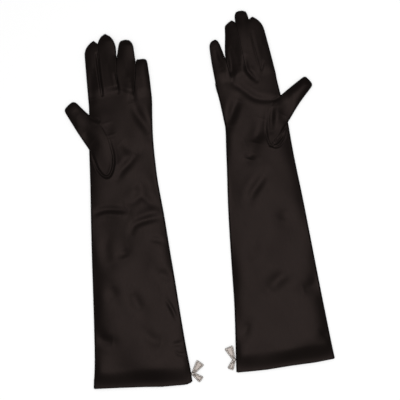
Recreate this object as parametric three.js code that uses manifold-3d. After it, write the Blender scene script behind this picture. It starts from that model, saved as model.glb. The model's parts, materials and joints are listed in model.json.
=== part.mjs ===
// A pair of opera gloves in satin, lying flat with the palms up, fingers towards +Y.
// Millimetres, +Z up, with the table at z = 0 and the origin under the middle of the pair.
//
// Each glove is drawn with the middle of its hem at x = y = 0, its fingers towards +Y and its
// thumb towards -X, which is how the left glove lies. The right glove is the same pattern
// mirrored. Every cloth piece is its own solid: the palm and back of the sleeve, the turned-up
// hem, the set-in thumb, the fronts and backs of the fingers and the narrow strips
// (fourchettes) sewn between them. A small crystal bow is stitched to the little-finger seam
// of each glove just above the hem.
import * as THREE from "three";
import Module from "manifold-3d";
import { mergeVertices } from "three/addons/utils/BufferGeometryUtils.js";

const wasm = await Module();
wasm.setup();

// Cloth
const fabric = 1.0; // satin and its lining together
const seamGap = 0.3; // between two pieces that are sewn to each other
const foldGap = 0.5; // between a finger or thumb and the hand it folds on
const puff = 10; // how high the empty glove stands off the table
const sleeveRound = 4.9; // corner radius of the sleeve, hand and thumb tubes
const fingerRound = 2.5; // corner radius of a finger, which its strips keep square

// Sleeve and hand
const hemWidth = 148;
const hemFlare = 1.2; // each side of the last stretch before the hem opens by this much
const flareLength = 20;
const wristAt = 335; // from the hem
const wristWidth = 96;
const knuckleAt = 435;
const knuckleWidth = 93.4;
const knuckleShift = 6.3; // the knuckles lie this far to the little-finger side
const hemTurning = 18; // depth of the turned-up hem
const hemCloth = 0.7;
const hemStart = 0.2; // the turned-up cloth begins this far inside the hem's fold

// Thumb
const thumbBelowKnuckles = 51.5; // from the knuckle line down to the middle of the thumb's root
const thumbRootWidth = 55; // along the edge of the hand
const thumbLength = 50; // from the root to where its tip begins
const thumbTipWidth = 16;
const thumbTipLength = 9;
const thumbEase = 4; // the side opening runs out over this length at each end of the root
const settingReach = 33; // the thumb piece is set this far into the palm
const settingDrop = 37; // and this far below its root, towards the hem
const settingLowest = 20; // its lowest point is this far from the side edge
const settingWidest = 8; // its widest point is this far below the root
const settingTop = 16; // width of its upper end
const settingTopDrop = 6; // which lies this far below the top of the root

// Fingers, from the thumb side; share is of the knuckle width
const fingerGap = 1.1;
const fingerTipLength = 11;
const tipSteps = [0, 30, 55, 75]; // degrees round the curve of a fingertip
const tipThinning = 0.8; // how much of the tube's height a tip loses with its width
const stripMargin = 2; // a strip ends this far before the tip's curve
const fingers = [
  { name: "index", share: 0.235, taper: 0.86, length: 86 },
  { name: "middle", share: 0.243, taper: 0.85, length: 96 },
  { name: "ring", share: 0.235, taper: 0.83, length: 83.5 },
  { name: "little", share: 0.287, taper: 0.67, length: 59 },
];

// Bow
const bowThick = 1.8; // metal frame of a wing
const bowRise = 1.0; // from the table to the frame
const bowRail = 2.4; // width of the thick rail around a wing's middle
const wingSlit = 0.4; // half the width of that middle at the knot's end
const wingPlateHigh = 0.7; // the thin plate that closes the middle
const knotRadius = 2.2;
const knotHigh = 4.6;
const knotTaper = 0.7; // its top's width as a share of its foot's
const plateMargin = 0.3; // the plate reaches this far past the knot
const plateThick = 0.5;
const stitchLength = 0.8; // from the seam to the knot
const stitchWide = 3;
const stitchHigh = 2;
const bowFromSeam = seamGap + stitchLength + seamGap + knotRadius;
const stoneWide = 2.2;
const stoneTop = 0.56; // a stone's flat top as a share of its width
const stoneHigh = 1.3;
const stonePitch = 2.3;
const stoneStrip = 1; // width of the strip that the stones are set on
const stoneStripHigh = 0.4;
const ventHigh = 3.6; // the slit in the seam below the bow
const ventDeep = 4;
const wings = [
  { name: "upper", length: 20, rootWidth: 3.6, endWidth: 13.3 },
  { name: "lower", length: 15.5, rootWidth: 3.6, endWidth: 10 },
];

// How each glove lies: its turn, the place of its hem, the lean of each finger in degrees, the
// length of finger taken up by slack, the thumb's angle from the fingers' direction, and the
// bow's distance from the hem with the directions of its wings.
const lays = [
  {
    name: "left",
    mirrored: false,
    turn: -0.75,
    place: [0, 0],
    leans: [1.5, 1.2, 4.5, 3.2],
    slack: [3, 5, 4, 10],
    thumbAngle: 31.4,
    bowAlong: 8,
    wingAngles: [40, 124],
  },
  {
    name: "right",
    mirrored: true,
    turn: 0.75,
    place: [215, 6.3],
    leans: [7, 4.5, 2.2, 4],
    slack: [0, 0, 0, 0],
    thumbAngle: 49.7,
    bowAlong: 15,
    wingAngles: [13.5, 145],
  },
];

const satin = new THREE.MeshStandardMaterial({ color: 0x241e1c, roughness: 0.45, metalness: 0 });
const hemSatin = new THREE.MeshStandardMaterial({ color: 0x1f1a18, roughness: 0.5, metalness: 0 });
const silver = new THREE.MeshStandardMaterial({ color: 0xb9b0a6, roughness: 0.25, metalness: 1 });
const crystal = new THREE.MeshStandardMaterial({ color: 0xd8cfc4, roughness: 0.05, metalness: 0 });
const thread = new THREE.MeshStandardMaterial({ color: 0x1a1615, roughness: 0.7, metalness: 0 });

const radians = THREE.MathUtils.degToRad;
const lerp = THREE.MathUtils.lerp;
const far = 700; // beyond the glove on every side
const past = 1; // how far a cutting shape reaches beyond what it cuts

// ---- Solids ---------------------------------------------------------------------------

function solidOf(geometry) {
  const bare = geometry.clone();
  bare.deleteAttribute("normal");
  bare.deleteAttribute("uv");
  const merged = mergeVertices(bare, 1e-4);
  return new wasm.Manifold(
    new wasm.Mesh({
      numProp: 3,
      vertProperties: new Float32Array(merged.attributes.position.array),
      triVerts: new Uint32Array(merged.index.array),
    }),
  );
}

function geometryOf(solid) {
  const mesh = solid.getMesh();
  const geometry = new THREE.BufferGeometry();
  geometry.setAttribute("position", new THREE.BufferAttribute(mesh.vertProperties, 3));
  geometry.setIndex(new THREE.BufferAttribute(mesh.triVerts, 1));
  return geometry;
}

// A box given by its lowest and highest corners.
function block(low, high) {
  const size = high.map((value, i) => value - low[i]);
  const geometry = new THREE.BoxGeometry(...size);
  geometry.translate(...low.map((value, i) => value + size[i] / 2));
  return solidOf(geometry);
}

// A plan outline raised from one height to another.
function prism(shape, bottom, top, curveSegments = 8) {
  const depth = top - bottom;
  const geometry = new THREE.ExtrudeGeometry(shape, { depth, bevelEnabled: false, curveSegments });
  geometry.translate(0, 0, bottom);
  return solidOf(geometry);
}

function shapeOf(points) {
  return new THREE.Shape(points.map(([x, y]) => new THREE.Vector2(x, y)));
}

// One upright rounded rectangle. It spans the plan points low and high and the heights
// bottom and top, all drawn in by inset.
function sectionRing({ low, high, bottom = 0, top = puff, corner }, inset) {
  const steps = 3;
  const smallest = 0.2;
  const mostOfSide = 0.49;
  const across = new THREE.Vector2(high[0] - low[0], high[1] - low[1]);
  const width = across.length() - 2 * inset;
  const height = top - bottom - 2 * inset;
  const middle = [(low[0] + high[0]) / 2, (low[1] + high[1]) / 2, (bottom + top) / 2];
  const limit = mostOfSide * Math.min(width, height);
  const radius = Math.max(smallest, Math.min(corner - inset, limit));
  across.normalize();
  const ring = [];
  for (let quarter = 0; quarter < 4; quarter += 1) {
    const right = quarter === 0 || quarter === 3 ? 1 : -1;
    const up = quarter < 2 ? 1 : -1;
    for (let step = 0; step <= steps; step += 1) {
      const angle = (quarter + step / steps) * (Math.PI / 2);
      const u = right * (width / 2 - radius) + radius * Math.cos(angle);
      const v = up * (height / 2 - radius) + radius * Math.sin(angle);
      ring.push([middle[0] + across.x * u, middle[1] + across.y * u, middle[2] + v]);
    }
  }
  return ring;
}

// A closed solid through a row of rings with the same number of points each.
function loft(rings) {
  const count = rings[0].length;
  const last = (rings.length - 1) * count;
  const faces = [];
  for (let row = 0; row < rings.length - 1; row += 1) {
    for (let i = 0; i < count; i += 1) {
      const a = row * count + i;
      const b = row * count + ((i + 1) % count);
      faces.push(a, b + count, b, a, a + count, b + count);
    }
  }
  for (let i = 1; i < count - 1; i += 1) {
    faces.push(0, i, i + 1);
    faces.push(last, last + i + 1, last + i);
  }
  const geometry = new THREE.BufferGeometry();
  geometry.setAttribute("position", new THREE.Float32BufferAttribute(rings.flat(2), 3));
  geometry.setIndex(faces);
  return new wasm.Manifold(
    new wasm.Mesh({
      numProp: 3,
      vertProperties: geometry.attributes.position.array,
      triVerts: new Uint32Array(geometry.index.array),
    }),
  );
}

// The same section moved along the line from one section's middle to another's.
function beyond(section, other, distance) {
  const middle = (s) => [(s.low[0] + s.high[0]) / 2, (s.low[1] + s.high[1]) / 2];
  const from = middle(other);
  const to = middle(section);
  const length = Math.hypot(to[0] - from[0], to[1] - from[1]);
  const shift = from.map((value, i) => ((to[i] - value) / length) * distance);
  const moved = (point) => point.map((value, i) => value + shift[i]);
  return { ...section, low: moved(section.low), high: moved(section.high) };
}

// A tube of cloth from the outer surface in to the wall's thickness, open at its first
// section and, unless closedEnd is set, at its last one too.
function clothTube(sections, outerInset, wall, closedEnd) {
  const overrun = 5;
  const outer = loft(sections.map((section) => sectionRing(section, outerInset)));
  const inside = [...sections];
  inside.unshift(beyond(sections[0], sections[1], overrun));
  const end = sections.length - 1;
  if (closedEnd) {
    inside[inside.length - 1] = beyond(sections[end], sections[end - 1], -wall);
  } else {
    inside.push(beyond(sections[end], sections[end - 1], overrun));
  }
  const inner = loft(inside.map((section) => sectionRing(section, outerInset + wall)));
  return outer.subtract(inner);
}

// ---- Sleeve and hand ------------------------------------------------------------------

// The two edges of the flat glove at a distance from the hem.
function edges(y) {
  if (y <= wristAt) {
    const flared = y < flareLength ? hemFlare * (1 - y / flareLength) : 0;
    const half = lerp(hemWidth / 2 - hemFlare, wristWidth / 2, y / wristAt) + flared;
    return [-half, half];
  }
  const along = (y - wristAt) / (knuckleAt - wristAt);
  const half = lerp(wristWidth, knuckleWidth, along) / 2;
  const middle = knuckleShift * along;
  return [middle - half, middle + half];
}

const thumbMiddleAt = knuckleAt - thumbBelowKnuckles;
const thumbLowAt = thumbMiddleAt - thumbRootWidth / 2;
const thumbHighAt = thumbMiddleAt + thumbRootWidth / 2;

// A point on the edge of the hand where the thumb is joined.
function rootPoint(y) {
  return [edges(y)[0], y];
}

function handSections() {
  const opening = sleeveRound + past;
  const stations = [0, flareLength, wristAt / 2, wristAt, thumbLowAt - thumbEase, thumbLowAt];
  stations.push(thumbHighAt, thumbHighAt + thumbEase, knuckleAt);
  return stations.map((y) => {
    const [low, high] = edges(y);
    const atThumb = y === thumbLowAt || y === thumbHighAt;
    return { low: [atThumb ? low - opening : low, y], high: [high, y], corner: sleeveRound };
  });
}

// The side of the hand is open where the thumb joins it.
function thumbDoorway() {
  const outside = 30;
  const low = rootPoint(thumbLowAt - thumbEase);
  const high = rootPoint(thumbHighAt + thumbEase);
  const corners = [low, high, [high[0] - outside, high[1]], [low[0] - outside, low[1]]];
  return prism(shapeOf(corners), -past, puff + past);
}

// The rounded outline on the palm that the thumb piece is set into.
function settingShape(margin) {
  const low = rootPoint(thumbLowAt - thumbEase);
  const high = rootPoint(thumbHighAt);
  const side = low[0] - margin;
  const bottom = low[1] - settingDrop - margin;
  const reach = low[0] + settingReach + margin;
  const topX = low[0] + settingTop + margin;
  const topY = high[1] - settingTopDrop + margin;
  const shape = new THREE.Shape();
  shape.moveTo(side + sleeveRound, low[1] - margin);
  shape.quadraticCurveTo(side + settingLowest / 2, bottom, low[0] + settingLowest, bottom);
  shape.quadraticCurveTo(reach, bottom, reach, low[1] - settingWidest);
  shape.quadraticCurveTo(reach, lerp(low[1], high[1], 0.5), topX, topY);
  shape.lineTo(high[0] - past, high[1] + margin);
  shape.lineTo(side - past, low[1] - margin);
  shape.closePath();
  return shape;
}

// The slit in the seam from the hem up to the bow.
function vent(lay) {
  const edge = edges(0)[1];
  const low = [edge - ventDeep, -past, puff / 2 - ventHigh / 2];
  return block(low, [edge + past, lay.bowAlong, puff / 2 + ventHigh / 2]);
}

// The palm side and the back of a tube, with the seam between them at half height.
function halves(shell) {
  const middle = puff / 2;
  return [
    shell.intersect(block([-far, -far, middle + seamGap / 2], [far, far, puff + past])),
    shell.intersect(block([-far, -far, -past], [far, far, middle - seamGap / 2])),
  ];
}

function sleeveAndHand(lay) {
  const tube = clothTube(handSections(), 0, fabric, false);
  const [front, back] = halves(tube.subtract(thumbDoorway()).subtract(vent(lay)));
  const hole = prism(settingShape(seamGap / 2), puff / 2, puff + past);
  const patch = prism(settingShape(-seamGap / 2), puff / 2, puff + past);
  return [
    ["palm_panel", front.subtract(hole), satin],
    ["thumb_setting", front.intersect(patch), satin],
    ["back_panel", back, satin],
  ];
}

// The hem is turned up inside the sleeve, as one strip under the palm and one on the back.
function turnedHem() {
  const sections = [hemStart, hemTurning].map((y) => {
    const [low, high] = edges(y);
    return { low: [low, y], high: [high, y], corner: sleeveRound };
  });
  const strip = clothTube(sections, fabric + seamGap, hemCloth, false);
  const spread = ventHigh / 2 + seamGap;
  const above = block([-far, -far, puff / 2 + spread], [far, far, puff]);
  const below = block([-far, -far, 0], [far, far, puff / 2 - spread]);
  return [
    ["hem_palm_side", strip.intersect(above), hemSatin],
    ["hem_back_side", strip.intersect(below), hemSatin],
  ];
}

// ---- Thumb ----------------------------------------------------------------------------

function thumbSections(lay) {
  const low = rootPoint(thumbLowAt);
  const high = rootPoint(thumbHighAt);
  const turn = radians(lay.thumbAngle);
  const along = [-Math.sin(turn), Math.cos(turn)];
  const across = [Math.cos(turn), Math.sin(turn)];
  const root = [(low[0] + high[0]) / 2, (low[1] + high[1]) / 2];
  const corner = sleeveRound;
  const away = (point) => [point[0] - foldGap, point[1]];
  const sections = [{ low: away(low), high: away(high), corner }];
  for (const degrees of tipSteps) {
    const swell = Math.cos(radians(degrees));
    const distance = thumbLength + thumbTipLength * Math.sin(radians(degrees));
    const half = (thumbTipWidth / 2) * swell;
    const rise = (puff / 2) * (1 - Math.sqrt(swell)) * tipThinning;
    const centre = root.map((value, i) => value + along[i] * distance);
    sections.push({
      low: centre.map((value, i) => value - across[i] * half),
      high: centre.map((value, i) => value + across[i] * half),
      bottom: rise,
      top: puff - rise,
      corner,
    });
  }
  return sections;
}

function thumb(lay) {
  const [front, back] = halves(clothTube(thumbSections(lay), 0, fabric, true));
  return [
    ["thumb_front", front, satin],
    ["thumb_back", back, satin],
  ];
}

// ---- Fingers --------------------------------------------------------------------------

// A finger standing straight along +Y from y = 0, with its middle at x = 0.
function fingerSections(width, taper, length) {
  const shoulder = length - fingerTipLength;
  const corner = fingerRound;
  const sections = [{ low: [-width / 2, 0], high: [width / 2, 0], corner }];
  for (const degrees of tipSteps) {
    const swell = Math.cos(radians(degrees));
    const y = shoulder + fingerTipLength * Math.sin(radians(degrees));
    const half = (width / 2) * taper * swell;
    const rise = (puff / 2) * (1 - Math.sqrt(swell)) * tipThinning;
    sections.push({ low: [-half, y], high: [half, y], bottom: rise, top: puff - rise, corner });
  }
  return sections;
}

// The front, the back and the side strips of one finger. A side without a strip is a fold or
// an outer seam, where front and back meet at half height.
function fingerPieces(name, width, taper, length, stripSides) {
  const strip = [fingerRound + seamGap, puff - fingerRound - seamGap];
  const stripEnd = length - fingerTipLength - stripMargin;
  const shell = clothTube(fingerSections(width, taper, length), 0, fabric, true);
  let [front, back] = halves(shell);
  const pieces = [];
  for (const side of stripSides) {
    const span = side < 0 ? [-far, 0] : [0, far];
    const bed = block(
      [span[0], -far, strip[0] - seamGap],
      [span[1], stripEnd + seamGap, strip[1] + seamGap],
    );
    front = front.subtract(bed);
    back = back.subtract(bed);
    const slab = block([span[0], -far, strip[0]], [span[1], stripEnd, strip[1]]);
    const where = side < 0 ? "thumbward" : "outward";
    pieces.push([`${name}_fourchette_${where}`, shell.intersect(slab), satin]);
  }
  return [[`${name}_front`, front, satin], [`${name}_back`, back, satin], ...pieces];
}

// The finger is then leaned sideways, with its base kept flush with the knuckle line.
function lean(solid, x, degrees) {
  const geometry = geometryOf(solid);
  const shear = new THREE.Matrix4().makeShear(0, 0, Math.tan(radians(degrees)), 0, 0, 0);
  geometry.applyMatrix4(shear);
  geometry.translate(x, knuckleAt + foldGap, 0);
  return geometry;
}

function allFingers(lay) {
  const room = knuckleWidth - fingerGap * (fingers.length - 1);
  const pieces = [];
  let start = edges(knuckleAt)[0];
  fingers.forEach(({ name, share, taper, length }, i) => {
    const width = room * share;
    const stripSides = [];
    if (i > 0) {
      stripSides.push(-1);
    }
    if (i < fingers.length - 1) {
      stripSides.push(1);
    }
    const made = fingerPieces(name, width, taper, length - lay.slack[i], stripSides);
    for (const [piece, solid, material] of made) {
      pieces.push([piece, lean(solid, start + width / 2, lay.leans[i]), material]);
    }
    start += width + fingerGap;
  });
  return pieces;
}

// ---- Bow ------------------------------------------------------------------------------

// The four corners of a wing, which opens out from the knot. They are drawn in by an inset,
// and where that would close the narrow end, the outline starts further along.
function wingCorners({ length, rootWidth, endWidth }, inset) {
  const root = knotRadius + seamGap;
  const slope = (endWidth - rootWidth) / 2 / (length - root);
  const narrowed = rootWidth / 2 - inset * Math.hypot(1, slope);
  const start = Math.max(inset, (wingSlit - narrowed) / slope);
  const end = length - root - inset;
  const left = [[-narrowed - slope * start, start], [-narrowed - slope * end, end]];
  const right = left.map(([x, y]) => [-x, y]);
  return [left[0], right[0], right[1], left[1]].map(([x, y]) => [x, root + y]);
}

// The flat ring between two insets of a wing's outline.
function wingRing(wing, outerInset, innerInset, bottom, high) {
  const shape = shapeOf(wingCorners(wing, outerInset));
  shape.holes.push(new THREE.Path(shapeOf(wingCorners(wing, innerInset)).getPoints().reverse()));
  return prism(shape, bottom, bottom + high);
}

// A wing is a thick rail round a thin plate.
function wingFrame(wing) {
  const underRail = shapeOf(wingCorners(wing, bowRail / 2));
  const plate = prism(underRail, bowRise, bowRise + wingPlateHigh);
  return wingRing(wing, 0, bowRail, bowRise, bowThick).add(plate);
}

// Crystals in a row round the frame, joined by the thin strip they are set on.
function wingStones(wing) {
  const bottom = bowRise + bowThick + seamGap / 2;
  const edge = (bowRail - stoneStrip) / 2;
  let row = wingRing(wing, edge, edge + stoneStrip, bottom, stoneStripHigh);
  const corners = wingCorners(wing, bowRail / 2);
  corners.forEach(([x, y], i) => {
    const [nextX, nextY] = corners[(i + 1) % corners.length];
    const count = Math.max(1, Math.round(Math.hypot(nextX - x, nextY - y) / stonePitch));
    const radius = stoneWide / 2;
    for (let k = 0; k < count; k += 1) {
      const stone = new THREE.CylinderGeometry(radius * stoneTop, radius, stoneHigh, 6);
      stone.rotateX(Math.PI / 2);
      stone.translate(lerp(x, nextX, k / count), lerp(y, nextY, k / count), bottom + stoneHigh / 2);
      row = row.add(solidOf(stone));
    }
  });
  return row;
}

function bowKnot() {
  const knot = new THREE.CylinderGeometry(knotTaper * knotRadius, knotRadius, knotHigh, 14);
  knot.rotateX(Math.PI / 2);
  knot.translate(0, 0, bowRise + knotHigh / 2);
  return solidOf(knot);
}

// The plate behind the knot that both wings are soldered to.
function bowPlate() {
  const half = knotRadius + plateMargin;
  const top = bowRise - seamGap;
  return block([-half, -half, top - plateThick], [half, half, top]);
}

function bow(lay) {
  const knotAt = [edges(lay.bowAlong)[1] + bowFromSeam, lay.bowAlong];
  const middle = (lay.wingAngles[0] + lay.wingAngles[1]) / 2;
  const placed = (solid, degrees) => {
    const geometry = geometryOf(solid);
    geometry.rotateZ(-radians(degrees));
    geometry.translate(...knotAt, 0);
    return geometry;
  };
  const pieces = [
    ["bow_knot", placed(bowKnot(), middle - 90), crystal],
    ["bow_back_plate", placed(bowPlate(), middle), silver],
  ];
  wings.forEach((wing, i) => {
    const degrees = lay.wingAngles[i];
    pieces.push([`bow_${wing.name}_frame`, placed(wingFrame(wing), degrees), silver]);
    pieces.push([`bow_${wing.name}_stones`, placed(wingStones(wing), degrees), crystal]);
  });
  const seam = edges(lay.bowAlong)[1] + seamGap;
  const stitches = block(
    [seam, lay.bowAlong - stitchWide / 2, (puff - stitchHigh) / 2],
    [seam + stitchLength, lay.bowAlong + stitchWide / 2, (puff + stitchHigh) / 2],
  );
  pieces.push(["bow_stitches", geometryOf(stitches), thread]);
  return pieces;
}

// ---- The pair -------------------------------------------------------------------------

function mirror(geometry) {
  const flipped = geometry.clone();
  flipped.scale(-1, 1, 1);
  const corners = flipped.index.array;
  for (let i = 0; i < corners.length; i += 3) {
    [corners[i], corners[i + 1]] = [corners[i + 1], corners[i]];
  }
  return flipped;
}

function glove(lay) {
  const cloth = [...sleeveAndHand(lay), ...turnedHem(), ...thumb(lay)];
  const pieces = cloth.map(([name, solid, material]) => [name, geometryOf(solid), material]);
  pieces.push(...allFingers(lay), ...bow(lay));
  const group = new THREE.Group();
  for (const [name, geometry, material] of pieces) {
    const shaped = lay.mirrored ? mirror(geometry) : geometry;
    shaped.computeVertexNormals();
    const mesh = new THREE.Mesh(shaped, material.clone());
    mesh.name = `${lay.name}_${name}`;
    group.add(mesh);
  }
  group.rotation.z = radians(lay.turn);
  group.position.set(...lay.place, 0);
  return group;
}

const group = new THREE.Group();
for (const lay of lays) {
  group.add(glove(lay));
}

// The origin goes under the middle of the pair.
const extent = new THREE.Box3().setFromObject(group, true);
const middle = extent.getCenter(new THREE.Vector3());
group.position.set(-middle.x, -middle.y, 0);

export default group;
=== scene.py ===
"""The looks of a pair of satin opera gloves that lie flat with their palms up.

Each glove is drawn in millimetres in a frame of its own: the middle of the hem at 0, the
fingers towards +Y, the thumb towards -X and the height above the table in Z. The left glove
lies like that, and the right one is mirrored. place() turns those millimetres into the row
frame's metres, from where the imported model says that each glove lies.
"""

import json
import math

import bpy
import numpy as np
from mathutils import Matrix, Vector


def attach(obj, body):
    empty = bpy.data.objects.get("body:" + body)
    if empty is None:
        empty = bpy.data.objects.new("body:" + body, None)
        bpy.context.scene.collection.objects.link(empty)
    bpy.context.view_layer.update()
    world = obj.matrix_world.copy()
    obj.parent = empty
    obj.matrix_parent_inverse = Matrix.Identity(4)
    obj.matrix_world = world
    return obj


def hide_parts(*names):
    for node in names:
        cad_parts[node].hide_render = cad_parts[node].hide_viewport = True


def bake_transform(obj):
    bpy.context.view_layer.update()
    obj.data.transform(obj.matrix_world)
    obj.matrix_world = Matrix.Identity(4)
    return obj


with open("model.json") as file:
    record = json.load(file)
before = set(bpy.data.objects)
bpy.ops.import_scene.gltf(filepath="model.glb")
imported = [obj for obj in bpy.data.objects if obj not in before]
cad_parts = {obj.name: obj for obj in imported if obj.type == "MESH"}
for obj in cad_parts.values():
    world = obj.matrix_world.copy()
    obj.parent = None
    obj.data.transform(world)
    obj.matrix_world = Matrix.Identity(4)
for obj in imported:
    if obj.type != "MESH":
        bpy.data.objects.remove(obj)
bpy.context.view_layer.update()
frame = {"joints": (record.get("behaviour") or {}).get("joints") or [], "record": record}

MM = 0.001

# ---- Cloth ----

CLOTH = 0.45  # thickness of the satin and its lining
SEAM_HIGH = 1.5  # height of the side seams, where palm and back meet
EDGE_ROUND = 2.6  # the cloth rolls over its edge within this distance
TOP_ROLL = 1.5  # and rises by this much on the palm side
UNDER_ROLL = 0.92  # or falls by this much on the back
CROWN = 2.3  # how far the empty sleeve stands up in its middle
CROWN_REACH = 11.0
FINGER_CROWN = 2.9
TAPER = 0.45  # share of its height that a finger loses towards its tip
FINGER_REACH = 6.5
FINGER_ROUND = 1.3  # fingers roll over their edges more tightly
PARTED = 1.8  # fingers closer than this touch, and keep their full height up to there
STRIP_OPEN = 0.4  # half the least height between front and back at a side strip
STRIP_TUCK = 0.9  # how far a side strip folds in between them
GROOVE = 0.16  # depth of the groove between two fingers that touch
HEM_DEEP = 18.0
HEM_SWELL = 0.5  # how much fuller the sleeve is just above its hem
HEM_TUCK = 0.95  # the turned-up cloth lies this far inside the sleeve
HEM_CLOTH = 0.35  # and is thinner, as it has no lining
KNUCKLES = 435.0
ROW_STEP = 2.5
FINE_FROM = 308.0  # from here the rows are closer, for the seam of the thumb
FINE_STEP = 0.9
ROOT_ROWS = 44  # rows beside the root of the thumb
KNUCKLE_ROWS = 24  # and from there to the knuckles
FOLLOW_FROM = 395.0  # from here on the rows bend towards the knuckle line
FINGER_COLUMNS = 28
FINGER_ROWS = 64
TIP_SHARE = 0.9985  # a finger's last row stops just short of its tip
FINGER_NAMES = ("index", "middle", "ring", "little")
PALM_FLAT = (0.1495, 0.44)  # width and length of the palm and of the back laid flat, in metres
SETTING_FLAT = (0.036, 0.093)  # and of the set-in base of the thumb

# ---- Outlines, in millimetres, as each glove lies ----
# sides: distance from the hem, edge on the thumb side, edge on the little-finger side.
# hem: how far the hem's edge is from its straight line, across the glove.
# slit: how far the palm side is drawn in at the corner below the bow.
# lean: how much higher a finger stands at its outer edge than at its thumb-side edge.
# thumb_root: from where to where along the hand the thumb is joined on.
# crotches: where the fingers part at the knuckles, from the thumb side.

OUTLINES = {
    "left": {
        "sides": [
            (-6, -74.8, 74.8), (0, -73.9, 74.4), (12, -72.6, 73.6), (20, -71.2, 73), (50, -67.8, 69.9),
            (100, -64, 66.3), (150, -60.7, 63.2), (200, -57.4, 59.7), (250, -53.8, 56.4),
            (300, -49.8, 52.1), (330, -47.7, 51.1), (358, -45.9, 51), (380, -43.7, 51.9),
            (410, -40.9, 54.1), (424, -40, 55), (435, -39.9, 55.3),
        ],
        "hem": [(-74, 1), (-40, -0.8), (0, -3.2), (28, -5.6), (66, -5.9), (75, -2.6)],
        "slit": 6.0,
        "crotches": [(-39.9, 435), (-18.2, 438), (5.6, 440.5), (27.6, 431), (55.3, 433)],
        "thumb_root": (358, 410),
        "lean": {"index": 0.6, "middle": 2.4, "ring": 2.2},
    },
    "right": {
        "sides": [
            (-6, -75.8, 74.6), (0, -75.3, 73.8), (20, -73.5, 71.9), (50, -71.2, 68.8),
            (100, -67.4, 64.3), (150, -63.9, 61.5), (200, -60.5, 58.6), (250, -56.9, 55.1),
            (300, -52.7, 50.4), (330, -50.8, 47.8), (360, -49.3, 45.1), (375, -47.1, 45.9),
            (401.5, -43.6, 48.3), (420, -41.6, 50.4), (435, -40.3, 51.6),
        ],
        "hem": [(-76, 0.2), (-46, -2), (-10, -2.4), (28, -3.8), (50, -3.4), (74, -2.6)],
        "slit": 1.0,
        "crotches": [(-40.3, 435), (-18.8, 439), (3, 444), (27, 436), (51.6, 434)],
        "thumb_root": (360, 401.5),
        "lean": {"middle": -1.0, "ring": -2.2},
    },
}

# Fingers and thumb: the thumb-side edge halfway and at its shoulder, the tip, the other edge
# at its shoulder and halfway, and how square the tip is on each side.
LIMBS = {
    "left": {
        "thumb": ((-61.3, 386.5), (-75, 414.5), (-67, 430.2), (-56.5, 428), (-48.2, 418.2), 0.75, 0.6),
        "index": ((-39.5, 468), (-39, 498), (-24, 520), (-17.7, 510), (-17.9, 474), 0.45, 0.7),
        "middle": ((-18.1, 474), (-18, 511), (-4.8, 528.6), (8.1, 497), (6.2, 478), 0.62, 0.48),
        "ring": ((4.9, 474), (10.9, 500), (22.6, 517), (35, 502), (35.2, 474), 0.66, 0.66),
        "little": ((33.2, 457), (36.2, 476), (44, 486), (53.9, 477), (55, 455), 0.95, 0.85),
    },
    "right": {
        "thumb": (
            (-69.3, 385.3), (-89.6, 406.8), (-85.2, 423.4), (-76.7, 422.4), (-60.2, 412.3), 0.75, 0.6,
        ),
        "index": ((-36.1, 468), (-31.6, 500), (-16.3, 523.5), (-9.4, 515), (-13.6, 476), 0.45, 0.8),
        "middle": ((-13.9, 476), (-9.8, 519), (0.3, 534.6), (10.4, 520), (7, 480), 0.7, 0.85),
        "ring": ((6.6, 480), (9.7, 512), (16.5, 521.8), (28, 501), (31.6, 468), 0.85, 0.7),
        "little": ((32.9, 468), (37, 485), (44.6, 496.2), (53.8, 481), (53.4, 461), 0.6, 0.62),
    },
}

# ---- Creases ----
# Each is a line on the palm side with its depth and half width in millimetres: the cloth
# dips along the line and rises a little beside it. A negative depth is a ridge.

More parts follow.
